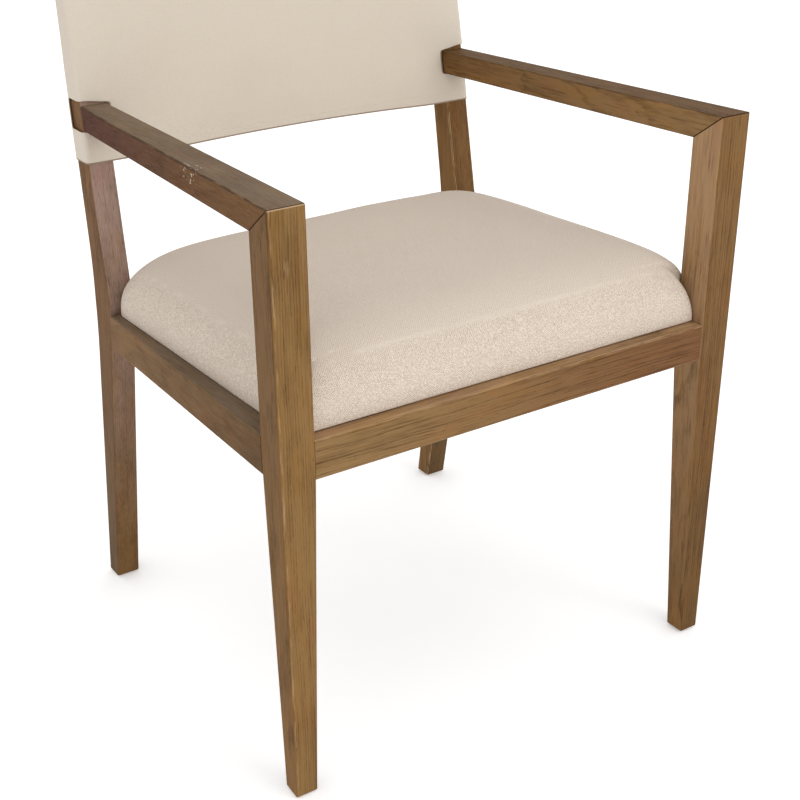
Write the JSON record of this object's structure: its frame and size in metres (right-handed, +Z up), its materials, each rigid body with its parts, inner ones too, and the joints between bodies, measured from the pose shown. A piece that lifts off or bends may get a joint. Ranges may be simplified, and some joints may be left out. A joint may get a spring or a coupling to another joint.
{
  "type": "armchair",
  "caption": "Upright wooden armchair with mitred open arms, tapered legs, a crowned upholstered seat and a slip-on fabric back cover with cut-outs round the arms.",
  "frame": {"origin": "on the floor, at the middle of the chair's box in plan", "axes": "+Z up; the chair faces -Y, so its back is towards +Y; +X is to the right as seen from the front"},
  "size_m": [0.5818, 0.547, 0.88],
  "materials": {
    "wood": "open-grained hardwood with a mid-brown walnut stain and a thin satin coat",
    "hidden_wood": "unfinished planed hardwood, out of sight",
    "plywood": "bare plywood",
    "hardboard": "thin brown hardboard",
    "foam": "cream upholstery foam",
    "linen": "natural cream linen weave, matt",
    "lining": "thin black non-woven lining",
    "steel": "plain zinc-plated steel",
    "plastic": "dark matt plastic"
  },
  "bodies": {
    "root": {"front_leg_left": "wood", "rear_leg_left": "wood", "arm_left": "wood", "side_rail_left": "wood", "mitre_spline_left": "plywood", "arm_tenon_left": "hidden_wood", "front_glide_left": "plastic", "rear_glide_left": "plastic", "front_corner_block_left": "hidden_wood", "front_seat_screw_left": "steel", "front_block_screw_across_left": "steel", "front_block_screw_along_left": "steel", "rear_corner_block_left": "hidden_wood", "rear_seat_screw_left": "steel", "rear_block_screw_across_left": "steel", "rear_block_screw_along_left": "steel", "front_leg_right": "wood", "rear_leg_right": "wood", "arm_right": "wood", "side_rail_right": "wood", "mitre_spline_right": "plywood", "arm_tenon_right": "hidden_wood", "front_glide_right": "plastic", "rear_glide_right": "plastic", "front_corner_block_right": "hidden_wood", "front_seat_screw_right": "steel", "front_block_screw_across_right": "steel", "front_block_screw_along_right": "steel", "rear_corner_block_right": "hidden_wood", "rear_seat_screw_right": "steel", "rear_block_screw_across_right": "steel", "rear_block_screw_along_right": "steel", "front_rail": "wood", "rear_rail": "wood", "back_top_rail": "hidden_wood", "back_bottom_rail": "hidden_wood", "seat_board": "plywood", "seat_foam": "foam", "seat_cover": "linen", "dust_cover": "lining", "back_foam": "foam", "back_board": "hardboard", "back_panel": "hardboard", "back_cover": "linen"}
  },
  "joints": []
}
